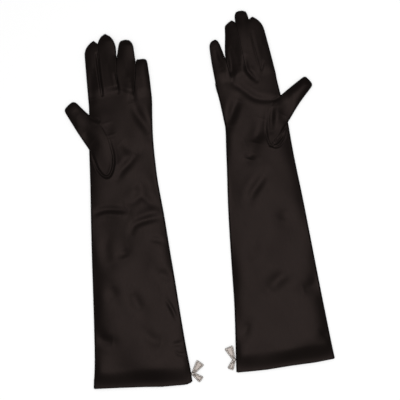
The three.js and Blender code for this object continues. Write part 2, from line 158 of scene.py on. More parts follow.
CREASES = {
    "left": [
        ([(-51, 262), (-28, 266), (5, 261.5)], 1.0, 4.2),
        ([(-47, 256), (-28, 260), (-6, 255)], -0.5, 5),
        ([(5, 230), (12, 240), (30, 245.5), (54, 248)], 1.1, 4.5),
        ([(14, 252), (32, 256), (52, 259)], -0.6, 6),
        ([(32, 217), (42, 214), (52, 210)], 0.8, 4),
        ([(-8, 311), (0, 322), (12, 333), (24, 344)], 1.1, 5.5),
        ([(22, 304), (27, 292), (26, 284)], 1.2, 8),
        ([(-2, 272), (12, 274), (26, 281), (40, 268), (49, 262)], 0.9, 6),
        ([(-12, 205), (-8, 192)], 1.2, 9),
        ([(-32, 226), (-36, 206), (-30, 186)], 0.9, 9),
        ([(38, 166), (50, 158), (53, 148)], 1.2, 7),
        ([(-2, 140), (3, 122), (10, 110)], 1.2, 8),
        ([(-34, 152), (-30, 130)], 0.9, 9),
        ([(47, 124), (54, 110), (60, 93)], 1.1, 3),
        ([(-58, 82), (-52, 72), (-38, 68)], 1.0, 7),
        ([(8, 80), (20, 66), (34, 60)], 0.9, 8),
        ([(50, 56), (58, 56), (66, 57)], 0.8, 3),
        ([(54, 44), (60, 40), (69, 39)], 0.9, 2.2),
        ([(26, 424), (32, 404), (43, 384), (48, 370)], 1.7, 7.5),
        ([(-14, 372), (-11, 352), (-6, 330)], 0.8, 7),
        ([(-16, 396), (-12, 376)], 0.9, 8),
        ([(2, 366), (16, 352), (30, 350)], 0.8, 8),
        ([(-33, 476), (-34, 450), (-35, 432)], 0.9, 5),
        ([(-20.5, 500), (-20, 470), (-18.5, 438)], 1.3, 1.8),
        ([(3, 466), (5, 452), (6, 440)], 0.7, 2.2),
        ([(26, 454), (27.5, 440), (27.5, 424)], 0.9, 4.2),
        ([(-42, 352), (-36, 328), (-27, 316), (-19, 316), (-13, 327), (-11, 340)], 0.8, 1.9),
        ([(-40.2, 408.6), (-36, 404), (-28, 399.5)], 1.1, 2.2),
        ([(-52, 384), (-46, 376), (-40, 370)], 0.9, 7),
        ([(-62, 420), (-56, 412)], 0.3, 5),
    ],
    "right": [
        ([(34, 432), (20, 424), (8, 413), (-4, 403), (-18, 398), (-38, 396)], 0.9, 4.8),
        ([(3, 464), (2.5, 448), (-3, 437), (-10, 428)], 1.1, 3.2),
        ([(-23, 454), (-19, 440)], 0.6, 2.2),
        ([(25, 478), (24.5, 452), (26, 432)], 1.2, 3.6),
        ([(12, 456), (14, 446), (10, 438)], -0.7, 6),
        ([(-29, 388), (-25, 366), (-23, 350)], 0.8, 4),
        ([(-36, 384), (-34, 362)], -0.5, 5),
        ([(-10, 372), (-2, 352), (4, 334)], 1.3, 9),
        ([(22, 404), (31, 386), (41, 366)], 1.7, 7),
        ([(12, 322), (16, 312)], 1.0, 7),
        ([(-6, 288), (4, 276), (16, 262), (22, 250)], 1.2, 6.5),
        ([(-30, 232), (-24, 214)], 0.9, 10),
        ([(20, 196), (26, 176), (24, 160)], 0.9, 10),
        ([(-22, 136), (-6, 128), (10, 114)], 1.3, 9),
        ([(-66, 124), (-56, 112), (-40, 108)], 1.0, 9),
        ([(-68, 40), (-62, 34)], 0.8, 7),
        ([(46, 70), (52, 60), (56, 50)], 0.8, 6),
        ([(-49, 358), (-42, 351), (-33, 340), (-24, 332.5)], 1.3, 1.7),
        ([(-42, 346), (-36, 338), (-28, 331), (-18, 328.5)], 1.0, 1.6),
        ([(-40, 349), (-34, 341), (-29, 336)], -0.7, 1.8),
        ([(-12, 500), (-14, 470), (-18, 445)], 0.4, 2.4),
        ([(18, 500), (19, 470), (16, 445)], 1.0, 7),
        ([(46, 482), (44, 465), (40, 452)], 0.7, 4),
        ([(-43.6, 400.6), (-36, 397), (-28, 395)], 0.7, 2.4),
        ([(-62, 392), (-50, 380), (-44, 370)], 1.0, 8),
        ([(-20, 350), (0, 346), (20, 338)], 0.6, 8),
    ],
}

# The seam round the set-in thumb, from the edge of the hand and back up into the palm.
THUMB_SEAMS = {
    "left": [(-44.6, 355), (-40, 340), (-35, 326), (-27, 316.5), (-19, 317.5),
             (-13, 328), (-10.5, 342), (-12, 358), (-16, 376), (-24, 392), (-34, 402), (-40.2, 408.8)],
    "right": [(-48.4, 356), (-44, 343), (-38, 331.5), (-30, 325.6), (-21, 327.5),
              (-16, 336), (-15, 350), (-17.5, 366), (-23, 382), (-32, 393), (-43.4, 401)],
}
SEAM_DEEP = {"left": 0.75, "right": 0.6}
SEAM_WIDE = 1.5

# The bows: the middle of the knot, then for the upper and the lower wing its direction in
# degrees clockwise from the glove's length, its length and the width of its end.
BOWS = {
    "left": {"knot": (76.1, 9.2), "wings": ((40, 20.4, 13.4), (131, 16.2, 10.4))},
    "right": {"knot": (74.9, 16.8), "wings": ((16.5, 20.6, 13.6), (152, 15.6, 9.6))},
}


# ---- Frames ----


class Glove:
    """Where one glove lies, and how its own millimetres become the row frame's metres."""

    def __init__(self, side):
        self.side = side
        self.flip = -1.0 if side == "right" else 1.0
        joints = {joint["name"]: joint for joint in frame["joints"]}
        along = joints[f"{side}_index_curl"]["axis"]
        self.turn = math.atan2(along[1], along[0])
        mounts = {mount["name"]: mount for mount in frame["record"]["mounts"]}
        mount = np.array(mounts[f"{side}_glove_rest"]["pos_m"]) / MM
        self.origin = mount - self.turned(np.array([10.0, 200.0, 0.0]))

    def turned(self, points):
        """Directions in the glove's frame as directions in the row frame."""
        points = np.asarray(points, float)
        c, s = math.cos(self.turn), math.sin(self.turn)
        x, y = points[..., 0] * self.flip, points[..., 1]
        return np.stack([x * c - y * s, x * s + y * c, points[..., 2]], axis=-1)

    def place(self, points):
        """Points in the glove's millimetres as points in the row frame's metres."""
        return (self.turned(points) + self.origin) * MM


def smoothstep(low, high, value):
    """0 up to low, 1 from high on, and a smooth rise between. High may be the lower one."""
    t = np.clip((value - low) / (high - low), 0, 1)
    return t * t * (3 - 2 * t)


def unit(vectors):
    """Vectors of the same directions, each of length 1."""
    return vectors / np.linalg.norm(vectors, axis=-1, keepdims=True)


def through(points, count):
    """A smooth line through the points, with that many points between each two of them."""
    points = np.array(points, float)
    before, after = 2 * points[0] - points[1], 2 * points[-1] - points[-2]
    padded = np.concatenate([[before], points, [after]])
    steps = np.linspace(0, 1, count, endpoint=False)[:, None]
    line = []
    for a, b, c, d in zip(padded, padded[1:], padded[2:], padded[3:]):
        tangent_b, tangent_c = (c - a) / 2, (d - b) / 2
        line.append(
            b * (1 + steps**2 * (2 * steps - 3))
            + c * steps**2 * (3 - 2 * steps)
            + tangent_b * steps * (1 - steps) ** 2
            - tangent_c * steps**2 * (1 - steps)
        )
    return np.concatenate([*line, points[-1:]])


def bezier(a, b, c, d, count):
    """Points on a cubic curve from a to d, which is drawn towards b and c."""
    t = np.linspace(0, 1, count)[:, None]
    return a * (1 - t) ** 3 + 3 * b * t * (1 - t) ** 2 + 3 * c * t**2 * (1 - t) + d * t**3


def spaced(line, shares):
    """Points on a line at those shares of its length."""
    step = np.linalg.norm(np.diff(line, axis=0), axis=1)
    along = np.concatenate([[0], np.cumsum(step)])
    return np.stack([np.interp(shares * along[-1], along, line[:, k]) for k in (0, 1)], axis=1)


def limb_edges(base, shape):
    """The two edges of a finger or thumb, from its base to its tip."""
    near_half, near_shoulder, tip, far_shoulder, far_half = np.array(shape[:5], float)
    edges = []
    for start, half, shoulder, roundness in (
        (base[0], near_half, near_shoulder, shape[5]),
        (base[1], far_half, far_shoulder, shape[6]),
    ):
        side = through([start, half, shoulder], 24)
        heading = unit(side[-1] - side[-3])
        across = unit(near_shoulder - far_shoulder)
        if np.dot(shoulder - tip, across) < 0:
            across = -across
        rise = np.dot(tip - shoulder, heading)
        reach = np.dot(shoulder - tip, across)
        leaving = shoulder + heading * rise * roundness
        arriving = tip + across * reach * roundness
        curve = bezier(shoulder, leaving, arriving, tip, 40)
        edges.append(np.concatenate([side[:-1], curve]))
    return edges


class Outline:
    """The plan of one glove: the edges of the sleeve, hand, fingers and thumb."""

    def __init__(self, side):
        shape = OUTLINES[side]
        self.shape = shape
        self.crotches = np.array(shape["crotches"], float)
        table = np.array(shape["sides"], float)
        dense = through(table, 12)
        self.table = dense[np.argsort(dense[:, 0])]
        low, high = shape["thumb_root"]
        self.root = np.array([[self.sides(low)[0], low], [self.sides(high)[0], high]])
        limbs = LIMBS[side]
        self.limbs = {"thumb": limb_edges(self.root, limbs["thumb"])}
        for i, name in enumerate(FINGER_NAMES):
            self.limbs[name] = limb_edges(self.crotches[i : i + 2], limbs[name])
        below = np.arange(-30.0, low + 0.1, 6)
        above = np.linspace(high, KNUCKLES, 6)
        outer = np.linspace(-30, KNUCKLES - 1, 80)
        self.side_lines = [self.edge(below, 0), self.edge(above, 0), self.edge(outer, 1)]
        self.side_lines[0][-1] = self.root[0]

    def sides(self, y):
        """Both edges of the sleeve and hand at a distance from the hem."""
        y = np.asarray(y, float)
        clipped = np.maximum(y, self.table[0, 0])
        return [np.interp(clipped, self.table[:, 0], self.table[:, k]) for k in (1, 2)]

    def edge(self, heights, which):
        """Points on one edge of the sleeve and hand, at several distances from the hem."""
        return np.stack([self.sides(heights)[which], heights], axis=1)

    def at_hem(self, plan, drawn_in=0.0):
        """Plan points moved to follow the hem's edge, and the slit on the palm side."""
        x, y = plan[..., 0], plan[..., 1]
        far = self.sides(y)[1]
        inward = drawn_in * smoothstep(9, 0, y) * smoothstep(far - 22, far, x)
        return np.stack([x - inward, y + self.hem_drop(plan)], axis=-1)

    def hem_drop(self, plan):
        """How far the hem's edge has moved the cloth at each point along the glove."""
        edge = np.array(self.shape["hem"], float)
        down = np.interp(plan[..., 0], edge[:, 0], edge[:, 1])
        return down * (1 - smoothstep(0, 40, plan[..., 1]))

    def from_hem(self, plan):
        """Distance from the hem's edge, near the hem, and from its straight line beyond."""
        return plan[..., 1] - self.hem_drop(plan)

    def knuckle_line(self, x):
        """How far up the glove the fingers begin, across the hand."""
        return np.interp(x, self.crotches[:, 0], self.crotches[:, 1])


AT_ONCE = 4000  # points measured at once, to save memory


def segments(lines):
    """The short straight pieces of several lines, as start and end points."""
    starts = np.concatenate([line[:-1] for line in lines])
    ends = np.concatenate([line[1:] for line in lines])
    keep = np.linalg.norm(ends - starts, axis=1) > 1e-6
    return starts[keep], ends[keep]


def gaps_to(points, starts, ends):
    """Each point's distance to each short piece, and the share of the piece passed there."""
    run = ends - starts
    length = np.linalg.norm(run, axis=1)
    rel = points[:, None, :] - starts[None]
    share = np.clip((rel * run).sum(2) / length**2, 0, 1)
    return np.linalg.norm(rel - share[..., None] * run, axis=2), share


def reach_of(points, lines):
    """Each point's distance to the nearest edge, and a softer distance that all the edges
    share in, which has no ridge along the middle."""
    starts, ends = segments(lines)
    length = np.linalg.norm(ends - starts, axis=1)
    nearest, soft = np.empty(len(points)), np.empty(len(points))
    for first in range(0, len(points), AT_ONCE):
        part = slice(first, first + AT_ONCE)
        gap, _ = gaps_to(points[part], starts, ends)
        nearest[part] = gap.min(axis=1)
        pull = (length / np.maximum(gap, 0.3) ** 4).sum(axis=1)
        soft[part] = (math.pi / 2 / pull) ** (1 / 3)
    mix = smoothstep(1, 5, nearest)
    return nearest, nearest * (1 - mix) + np.maximum(soft, nearest * 0.5) * mix


def crease_profile(points, line, width):
    """How strongly a crease acts at each point: 1 on its line, with a low rise beside it."""
    line = through(line, 6)
    length = np.linalg.norm(np.diff(line, axis=0), axis=1)
    along = np.concatenate([[0], np.cumsum(length)])
    reach = 4 * width
    near = np.all((points > line.min(0) - reach) & (points < line.max(0) + reach), axis=1)
    strength = np.zeros(len(points))
    if near.any():
        gap, passed = gaps_to(points[near], line[:-1], line[1:])
        best = gap.argmin(axis=1)
        each = np.arange(len(gap))
        distance = gap[each, best] / width
        share = (along[best] + passed[each, best] * length[best]) / along[-1]
        fade = np.sqrt(np.sin(math.pi * np.clip(share, 0.04, 0.96)))
        dip = np.exp(-(distance**2)) - 0.16 * np.exp(-((distance - 2) ** 2) / 0.8)
        strength[near] = dip * fade
    return strength


def rolled(distance, width):
    """How far round its edge the cloth has rolled: 0 at the edge and 1 on the flat."""
    t = np.clip(distance / width, 0, 1)
    return np.sqrt(1 - (1 - t) ** 2)


def soft_waves(points, phase):
    """The slow unevenness of cloth that was folded and then laid out."""
    x, y = points[:, 0], points[:, 1]
    return (
        0.5 * np.sin(x / 17 + y / 43 + phase)
        + 0.5 * np.sin(x / 29 - y / 31 + 2.1 * phase)
        + 0.45 * np.sin(x / 13 + y / 57 + 0.7 * phase) * np.sin(y / 23 + phase)
        + 0.1 * np.sin(x / 8.1 - y / 11 + 1.3 * phase)
    )


def parted(edge, neighbour):
    """The far part of a finger's edge, from where it leaves the finger next to it."""
    gap = np.linalg.norm(edge[:, None] - neighbour[None], axis=2).min(axis=1)
    return edge[np.argmax(gap > PARTED) :]


class Cloth:
    """The height of the palm side and of the back of one glove."""

    def __init__(self, side):
        self.side = side
        self.outline = Outline(side)
        limbs = self.outline.limbs
        outer = [limbs["index"][0], limbs["little"][1]]
        self.shared = [*self.outline.side_lines, *limbs["thumb"], *outer]
        self.free_edges = {name: [] for name in FINGER_NAMES}
        for name, following in zip(FINGER_NAMES, FINGER_NAMES[1:]):
            one, other = limbs[name][1], limbs[following][0]
            self.free_edges[name].append(parted(one, other))
            self.free_edges[following].append(parted(other, one))
        self.phase = 0.4 if side == "left" else 2.3

    def measure(self, points, limb):
        """Distances to the edges. Past the knuckles a finger's own free edges count too."""
        near, soft = reach_of(points, self.shared)
        if limb in FINGER_NAMES:
            own_near, own_soft = reach_of(points, [*self.shared, *self.free_edges[limb]])
            past = smoothstep(0, 12, points[:, 1] - self.outline.knuckle_line(points[:, 0]))
            near = near + (own_near - near) * past
            soft = soft + (own_soft - soft) * past
        return near, soft

    def slimness(self, points):
        """0 on the sleeve and hand, and 1 out on the fingers and thumb."""
        y = points[:, 1]
        past = smoothstep(-6, 12, y - self.outline.knuckle_line(points[:, 0]))
        in_thumb = smoothstep(2, 20, self.outline.sides(y)[0] - points[:, 0])
        return np.maximum(past, in_thumb * smoothstep(350, 375, y))

    def roll(self, points, near):
        """How far the cloth has rolled over its edge, more tightly on a finger."""
        slim = self.slimness(points)
        return rolled(near, EDGE_ROUND + (FINGER_ROUND - EDGE_ROUND) * slim)

    def crown(self, points, soft):
        """How far the cloth stands up between its edges: low at the hem, then fuller."""
        y = self.outline.from_hem(points)
        slim = self.slimness(points)
        taper = 1 - TAPER * smoothstep(430, 530, y)
        height = CROWN + (FINGER_CROWN - CROWN) * slim
        reach = CROWN_REACH + (FINGER_REACH - CROWN_REACH) * slim
        reach = reach * (1 - 0.5 * smoothstep(60, 20, y))
        swell = 1 + HEM_SWELL * np.exp(-(((y - 30) / 24) ** 2))
        pressed = 0.06 + 0.94 * smoothstep(2, 26, y)
        return height * taper * (1 - np.exp(-soft / reach)) * swell * pressed

    def creased(self, points):
        """How much the creases and the seam of the thumb lower or raise the palm side."""
        total = np.zeros(len(points))
        for line, depth, width in CREASES[self.side]:
            total -= depth * crease_profile(points, line, width)
        seam = crease_profile(points, THUMB_SEAMS[self.side], SEAM_WIDE)
        stretched_flat = 1 - 0.65 * smoothstep(338, 378, points[:, 1])
        return total - SEAM_DEEP[self.side] * seam * stretched_flat

    def palm(self, points, limb=None):
        """Heights of the palm side, on the hand or on one finger or the thumb."""
        near, soft = self.measure(points, limb)
        free = 1 - np.exp(-near / 5)
        hem = smoothstep(6, 32, self.outline.from_hem(points))
        roll = self.roll(points, near)
        uneven = soft_waves(points, self.phase) * hem + self.creased(points)
        height = SEAM_HIGH + TOP_ROLL * roll + self.crown(points, soft) + uneven * free
        return np.maximum(height, SEAM_HIGH + 0.75 * TOP_ROLL * roll)

    def back(self, points, limb=None):
        """Heights of the back, which lies on the table."""
        near, soft = self.measure(points, limb)
        bulge = 0.18 * soft_waves(points, self.phase + 3) * (1 - np.exp(-soft / 8))
        return SEAM_HIGH - UNDER_ROLL * self.roll(points, near) + np.maximum(bulge, -0.1)


# ---- Grids ----


def column_shares(count):
    """Shares across a finger, closer together at its two edges."""
    even = np.linspace(0, 1, count + 1)
    return 0.55 * (0.5 - 0.5 * np.cos(math.pi * even)) + 0.45 * even


def hand_grid(outline):
    """Plan points of the sleeve and hand, whose last row lies on the knuckle line."""
    columns = []
    ends = outline.crotches[:, 0]
    for a, b in zip(ends, ends[1:]):
        share = a + (b - a) * column_shares(FINGER_COLUMNS)
        columns.extend((share[:-1] - ends[0]) / (ends[-1] - ends[0]))
    columns = np.array([*columns, 1.0])
    low, high = outline.shape["thumb_root"]
    stretches = [
        np.arange(0, FINE_FROM, ROW_STEP),
        np.linspace(FINE_FROM, low, round((low - FINE_FROM) / FINE_STEP), endpoint=False),
        np.linspace(low, high, ROOT_ROWS, endpoint=False),
        np.linspace(high, KNUCKLES, KNUCKLE_ROWS),
    ]
    heights = np.concatenate(stretches)
    heights[0] = 0.3
    rows = []
    last = ends[0] + columns * (ends[-1] - ends[0])
    for y in heights:
        near, far = outline.sides(y)
        x = near + columns * (far - near)
        follow = smoothstep(FOLLOW_FROM, KNUCKLES, y)
        bend = (outline.knuckle_line(last) - KNUCKLES) * follow
        rows.append(np.stack([x + (last - x) * follow**4, y + bend], axis=1))
    return np.array(rows), heights


def limb_grid(edges, base):
    """Plan points of a finger or thumb, from its base row to its tip."""
    even = np.linspace(0, 1, FINGER_ROWS)
    shares = 0.75 * even + 0.25 * np.sin(even * math.pi / 2)
    shares[-1] = TIP_SHARE
    near, far = (spaced(edge, shares) for edge in edges)
    across = np.linalg.norm(base - base[0], axis=1) / np.linalg.norm(base[-1] - base[0])
    grid = near[:, None] + across[None, :, None] * (far - near)[:, None]
    ease = 1 - smoothstep(0, 0.12, shares)
    straight = base[0] + across[:, None] * (base[-1] - base[0])
    grid += ease[:, None, None] * (base - straight)[None]
    return grid


def with_height(grid, height):
    """A grid of plan points with their heights."""
    flat = grid.reshape(-1, 2)
    return np.concatenate([flat, height(flat)[:, None]], axis=1).reshape(*grid.shape[:2], 3)


def faces_of(grid, facing_down=False):
    """The quads of a grid of points, as indices."""
    rows, columns = grid.shape[:2]
    index = np.arange(rows * columns).reshape(rows, columns)
    quads = [index[:-1, :-1], index[:-1, 1:], index[1:, 1:], index[1:, :-1]]
    quads = np.stack([q.ravel() for q in quads], axis=1)
    return quads[:, ::-1] if facing_down else quads


def quad_normals(sheet):
    """A normal for each quad of a sheet, twice as long as the quad's area."""
    a, b, c, d = (sheet["points"].reshape(-1, 3)[sheet["faces"][:, k]] for k in range(4))
    return np.cross(c - a, d - b)


def shared_normals(sheets):
    """Smooth normals for several sheets, which agree wherever two sheets share a point."""
    points = np.concatenate([sheet["points"].reshape(-1, 3) for sheet in sheets])
    _, same = np.unique(np.round(points, 3), axis=0, return_inverse=True)
    same = same.ravel()
    total = np.zeros((same.max() + 1, 3))
    first = 0
    for sheet in sheets:
        normal = quad_normals(sheet)
        for k in range(4):
            np.add.at(total, same[first + sheet["faces"][:, k]], normal)
        first += sheet["points"].size // 3
    total /= np.maximum(np.linalg.norm(total, axis=1, keepdims=True), 1e-12)
    first = 0
    for sheet in sheets:
        count = sheet["points"].size // 3
        sheet["normals"] = total[same[first : first + count]]
        first += count


# ---- Meshes ----


def mesh_object(name, vertices, faces, normals=None, pattern=None, smooth=True):
    """A new object. Its pattern is the place in the cloth that the weave is drawn from."""
    mesh = bpy.data.meshes.new(name)
    mesh.from_pydata(vertices.tolist(), [], [list(map(int, face)) for face in faces])
    mesh.validate()
    mesh.polygons.foreach_set("use_smooth", [smooth] * len(mesh.polygons))
    if pattern is not None:
        layer = mesh.attributes.new("pattern", "FLOAT_VECTOR", "POINT")
        layer.data.foreach_set("vector", np.asarray(pattern, np.float32).ravel())
    if normals is not None:
        mesh.normals_split_custom_set_from_vertices(normals.tolist())
    mesh.update()
    made = bpy.data.objects.new(name, mesh)
    bpy.context.scene.collection.objects.link(made)
    return made


def shell(glove, name, sheet, thickness=CLOTH, chosen=None):
    """A sheet given its thickness on the inner side, with its rim closed."""
    points = sheet["points"].reshape(-1, 3)
    normals = sheet["normals"]
    faces = sheet["faces"] if chosen is None else sheet["faces"][chosen]
    used, faces = np.unique(faces, return_inverse=True)
    faces = faces.reshape(-1, 4)
    points, normals = points[used], normals[used]
    count = len(points)
    inner = points - normals * thickness
    edges = np.concatenate([faces[:, [k, (k + 1) % 4]] for k in range(4)])
    known = {tuple(edge) for edge in edges.tolist()}
    rim = [(b, a, a + count, b + count) for a, b in known if (b, a) not in known]
    quads = [*faces.tolist(), *(faces[:, ::-1] + count).tolist(), *sorted(rim)]
    if glove.flip < 0:
        quads = [quad[::-1] for quad in quads]
    both = np.concatenate([points, inner])
    facing = glove.turned(np.concatenate([normals, -normals]))
    return mesh_object(name, glove.place(both), quads, facing, both)


# ---- Materials ----


class Shading:
    """A new material, and the nodes that feed its shader."""

    def __init__(self, name):
        self.material = bpy.data.materials.new(name)
        self.material.use_nodes = True
        self.tree = self.material.node_tree
        self.shader = self.tree.nodes["Principled BSDF"]

    def feed(self, node, inputs):
        """Sets a node's inputs to constants or to the outputs of other nodes."""
        for name, value in inputs.items():
            if isinstance(value, bpy.types.NodeSocket):
                self.tree.links.new(value, node.inputs[name])
            else:
                node.inputs[name].default_value = value

    def node(self, kind, output, inputs, **settings):
        """One output of a new node."""
        made = self.tree.nodes.new(kind)
        for name, value in settings.items():
            setattr(made, name, value)
        self.feed(made, inputs)
        return made.outputs[output]

    def noise(self, source, scale, detail):
        """A noise texture over a vector that is stretched by scale."""
        stretched = self.node("ShaderNodeMapping", "Vector", {"Vector": source, "Scale": scale})
        inputs = {"Vector": stretched, "Scale": 1.0, "Detail": detail}
        return self.node("ShaderNodeTexNoise", "Fac", inputs)

    def ranged(self, source, low, high):
        """A value between 0 and 1 taken to between low and high."""
        inputs = {"Value": source, "To Min": low, "To Max": high}
        return self.node("ShaderNodeMapRange", "Result", inputs)

    def plus_scaled(self, source, scale, base):
        """A value times a scale, plus another value."""
        inputs = {0: source, 1: scale, 2: base}
        return self.node("ShaderNodeMath", "Value", inputs, operation="MULTIPLY_ADD")

    def two_tone(self, factor, dark, light):
        """A colour between dark and light."""
        inputs = {"Factor": factor, "A": (*dark, 1), "B": (*light, 1)}
        return self.node("ShaderNodeMix", "Result", inputs, data_type="RGBA")


def satin_material(name, dark, light, roughness):
    """Satin: long fine floats along the glove, a slow change of tone and a soft gloss."""
    made = Shading(name)
    where = made.node("ShaderNodeAttribute", "Vector", {}, attribute_name="pattern")
    tone = made.noise(where, (0.021, 0.013, 0.02), 2.0)
    slub = made.noise(where, (1.7, 0.11, 0.4), 3.0)
    mixed = made.plus_scaled(slub, 0.35, made.ranged(tone, -0.3, 0.95))
    floats = made.noise(where, (5.5, 0.7, 3.0), 2.0)
    weave = {"Vector": where, "Scale": 0.9, "Distortion": 1.2}
    picks = made.node("ShaderNodeTexWave", "Fac", weave, bands_direction="Y")
    height = made.plus_scaled(picks, 0.25, floats)
    relief = {"Strength": 0.22, "Distance": 0.00006, "Height": height}
    made.feed(made.shader, {
        "Base Color": made.two_tone(mixed, dark, light),
        "Roughness": made.ranged(slub, roughness - 0.06, roughness + 0.08),
        "Normal": made.node("ShaderNodeBump", "Normal", relief),
        "Specular IOR Level": 0.052,
        "Specular Tint": (1.0, 0.74, 0.68, 1),
        "Sheen Weight": 0.01,
        "Sheen Roughness": 0.45,
        "Anisotropic": 0.35,
    })
    return made.material


def mottled(name, scale, detail, contrast, tones, roughness, inputs):
    """A material with one noise that changes both its tone and its roughness."""
    made = Shading(name)
    where = made.node("ShaderNodeTexCoord", "Object", {})
    uneven = made.noise(where, scale, detail)
    made.feed(made.shader, {
        "Base Color": made.two_tone(made.ranged(uneven, *contrast), *tones),
        "Roughness": made.ranged(uneven, *roughness),
        **inputs,
    })
    return made.material


def metal_material():
    """The worn silvery metal of the bows."""
    tones = ((0.15, 0.131, 0.119), (0.34, 0.304, 0.279))
    return mottled("bow_metal", (900, 900, 900), 4.0, (0, 1), tones, (0.42, 0.6), {"Metallic": 1.0})


def crystal_material():
    """The stones, which look grey and beige from above."""
    tones = ((0.16, 0.134, 0.120), (0.58, 0.525, 0.485))
    gloss = {"Specular IOR Level": 0.3, "Coat Weight": 0.2, "Coat Roughness": 0.03}
    return mottled("bow_crystal", (420, 420, 420), 2.0, (-0.3, 1.3), tones, (0.05, 0.16), gloss)


def thread_material():
    """Black sewing thread, with the twist of its plies."""
    tones = ((0.006, 0.005, 0.0045), (0.02, 0.016, 0.014))
    fuzz = {"Specular IOR Level": 0.2, "Sheen Weight": 0.1}
    return mottled("sewing_thread", (2500, 6000, 2500), 2.0, (0, 1), tones, (0.55, 0.8), fuzz)


# Each look is a material and the record's slot that it stands for.
SATIN_TONES = ((0.0027, 0.0020, 0.0018), (0.0048, 0.0036, 0.0032))
HEM_TONES = ((0.0026, 0.0020, 0.0018), (0.0045, 0.0034, 0.0030))
SATIN_LOOK = (satin_material("satin", *SATIN_TONES, 0.34), "satin")
HEM_LOOK = (satin_material("hem_satin", *HEM_TONES, 0.38), "hem_satin")
SILVER_LOOK = (metal_material(), "silver")
CRYSTAL_LOOK = (crystal_material(), "crystal")
THREAD_LOOK = (thread_material(), "thread")


def finish_piece(piece, material, slot, node):
    """Gives a piece its material and hides the solid, named by node, that it stands for. The slot is
    not used.
    """
    piece.data.materials.append(material)
    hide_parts(node)


# ---- Gloves ----


def inside_seam(points, side):
    """Which plan points are inside the seam of the set-in thumb."""
    ring = through(THUMB_SEAMS[side], 5)
    ring = np.concatenate([ring, [(ring[-1][0] - 20, ring[-1][1]), (ring[0][0] - 20, ring[0][1])]])
    inside = np.zeros(len(points), bool)
    for a, b in zip(ring, np.roll(ring, -1, axis=0)):
        crosses = (a[1] > points[:, 1]) != (b[1] > points[:, 1])
        rise = b[1] - a[1] if b[1] != a[1] else 1e-9
        at = a[0] + (points[:, 1] - a[1]) / rise * (b[0] - a[0])
        inside ^= crosses & (points[:, 0] < at)
    return inside


def strip_sheet(front_edge, back_edge, inward, tuck):
    """The narrow strip between a finger's front and back, folded in along its middle."""
    folds = (0, 0.5, 1, 0.5, 0)
    shares = np.linspace(0, 1, len(folds))
    columns = [
        front_edge * (1 - share) + back_edge * share + inward * (tuck * fold)[:, None]
        for share, fold in zip(shares, folds)
    ]
    return np.stack(columns, axis=1)


def limb_sheets(cloth, limb, base):
    """Front, back and side strips of a finger, or front and back of a thumb."""
    edges = cloth.outline.limbs[limb]
    grid = limb_grid(edges, base)
    front = with_height(grid, lambda p: cloth.palm(p, limb))
    back = with_height(grid, lambda p: cloth.back(p, limb))
    sides = []
    if limb in FINGER_NAMES:
        place = FINGER_NAMES.index(limb)
        if place > 0:
            sides.append(("thumbward", 0))
        if place < len(FINGER_NAMES) - 1:
            sides.append(("outward", -1))
    rows = np.linspace(0, 1, len(grid))
    open_up = smoothstep(0, 0.1, rows) * (1 - smoothstep(0.78, 0.95, rows))
    lean = cloth.outline.shape["lean"].get(limb, 0.0)
    front[..., 2] += lean * open_up[:, None] * np.linspace(0, 1, grid.shape[1])
    sheets = {}
    for where, column in sides:
        neighbour = 1 if column == 0 else -2
        closed = np.maximum(2 * STRIP_OPEN - (front - back)[:, column, 2], 0) / 2
        front[:, column, 2] += (closed - GROOVE * (closed == 0)) * open_up
        back[:, column, 2] -= closed * open_up
        inward = grid[:, neighbour] - grid[:, column]
        length = np.maximum(np.linalg.norm(inward, axis=1, keepdims=True), 1e-9)
        inward = np.concatenate([inward / length, np.zeros((len(grid), 1))], axis=1)
        strip = strip_sheet(front[:, column], back[:, column], inward, STRIP_TUCK * open_up)
        span = slice(0, int(len(grid) * 0.93))
        sheets[f"fourchette_{where}"] = {
            "points": strip[span],
            "faces": faces_of(strip[span], facing_down=column == -1),
        }
    sheets["front"] = {"points": front, "faces": faces_of(front)}
    sheets["back"] = {"points": back, "faces": faces_of(back, facing_down=True)}
    return sheets


def hem_row(cloth, shares, upper, y, drop):
    """Points across the hem at one distance from its edge, that far below the cloth."""
    near, far = cloth.outline.sides(y)
    plan = np.stack([near + shares * (far - near), np.full(len(shares), y)], axis=1)
    plan = cloth.outline.at_hem(plan, cloth.outline.shape["slit"] if upper else 0.0)
    height = cloth.palm(plan) - drop if upper else cloth.back(plan) + drop
    return np.concatenate([plan, height[:, None]], axis=1)


def hem_sheet(cloth, grid, heights, upper):
    """The cloth turned up inside the hem: a strip inside, then a roll over the edge."""
    across = grid[0, :, 0]
    keep = (across > across[0] + 0.8) & (across < across[-1] - 0.8)
    shares = (across[keep] - across[0]) / (across[-1] - across[0])
    inside = heights[(heights > 1) & (heights < HEM_DEEP)]
    stations = [(y, HEM_TUCK) for y in (*inside[::-1], 0.6)]
    radius = (HEM_TUCK + 0.1) / 2
    for degrees in range(-60, 91, 25):
        angle = math.radians(degrees)
        drop = HEM_TUCK / 2 - 0.05 - radius * math.sin(angle)
        stations.append((0.5 - radius * math.cos(angle), drop))
    stations.append((1.3, -0.02))
    rows = np.array([hem_row(cloth, shares, upper, y, drop) for y, drop in stations])
    return {"points": rows, "faces": faces_of(rows, facing_down=upper)}


def sheet_area(sheet):
    """A sheet's area laid flat, in square metres."""
    return np.linalg.norm(quad_normals(sheet), axis=1).sum() / 2 * MM * MM


def declare(flat, area):
    """Takes the smaller of a piece's area and of its width times length laid flat, and keeps neither.
    """
    area = min(area, flat[0] * flat[1])


